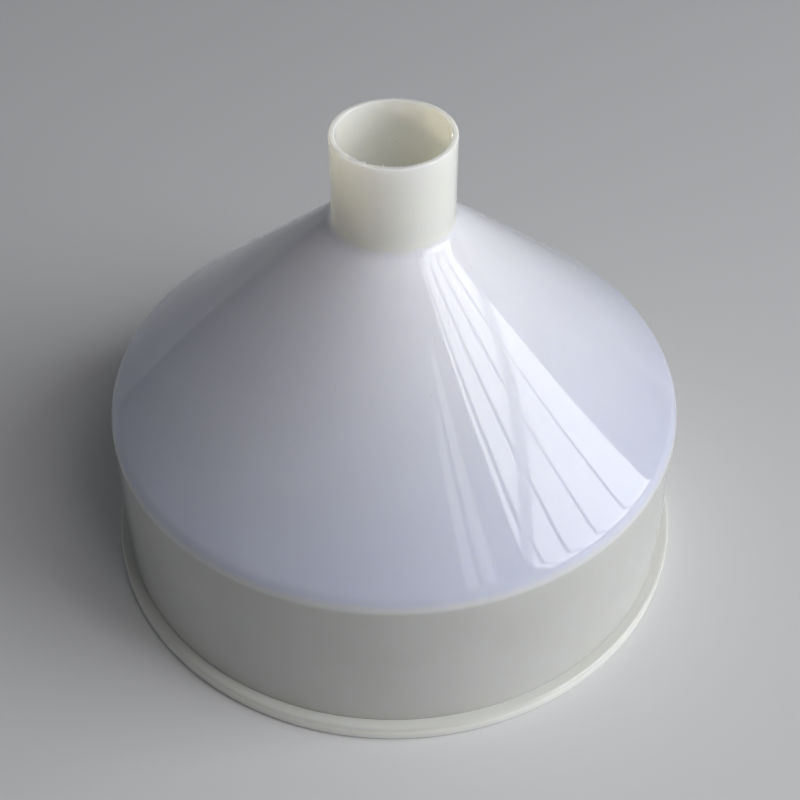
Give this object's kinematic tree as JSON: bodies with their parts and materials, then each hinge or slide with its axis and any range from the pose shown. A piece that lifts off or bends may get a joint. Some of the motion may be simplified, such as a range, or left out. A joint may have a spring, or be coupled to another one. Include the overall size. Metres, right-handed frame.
{
  "type": "buchner funnel",
  "caption": "Sectional plastic Buchner funnel standing on its rim: cone with stem lifts off a flanged filter cup, releasing a drilled plate and filter paper.",
  "frame": {"origin": "centre of the rim's face that stands on the bench", "axes": "+Z along the funnel's axis, out of the stem; the funnel is round, so +X and +Y are free, and a rib of the plate's support lies 30 degrees from +X"},
  "size_m": [0.262, 0.262, 0.213],
  "materials": {
    "natural_pp_cream": "milky, slightly yellow-green, satin gloss",
    "natural_pp_cool": "milky natural sheet, glossy",
    "natural_pp_stem": "milky natural tube, glossy",
    "white_pp": "planed plate, drilled",
    "silicone": "translucent white, matt",
    "filter_paper": "soft cellulose filter paper, matt"
  },
  "bodies": {
    "filter_cup": {"rim_flange": "natural_pp_cream", "cup_wall": "natural_pp_cream", "rim_weld_bead": "natural_pp_cream"},
    "paper": {"filter_paper": "filter_paper"},
    "plate": {"filter_plate": "white_pp", "plate_gasket": "silicone"},
    "funnel_body": {"collar_wall": "natural_pp_cream", "seat_ring": "natural_pp_cream", "seat_weld_bead": "natural_pp_cream", "cone_shell": "natural_pp_cool", "stem_tube": "natural_pp_stem", "stem_weld_bead": "natural_pp_stem", "hub_ring": "natural_pp_cream", "support_rib_1": "natural_pp_cream", "support_rib_2": "natural_pp_cream", "support_rib_3": "natural_pp_cream", "support_rib_4": "natural_pp_cream", "support_rib_5": "natural_pp_cream", "support_rib_6": "natural_pp_cream"}
  },
  "joints": [
    {"name": "paper_lifts_off_cup", "type": "slide", "parent": "filter_cup", "child": "paper", "axis": [0, 0, 1], "range_m": [0, 0.06]},
    {"name": "plate_lifts_off_paper", "type": "slide", "parent": "paper", "child": "plate", "axis": [0, 0, 1], "range_m": [0, 0.06]},
    {"name": "funnel_body_lifts_off_plate", "type": "slide", "parent": "plate", "child": "funnel_body", "axis": [0, 0, 1], "range_m": [0, 0.12]}
  ]
}
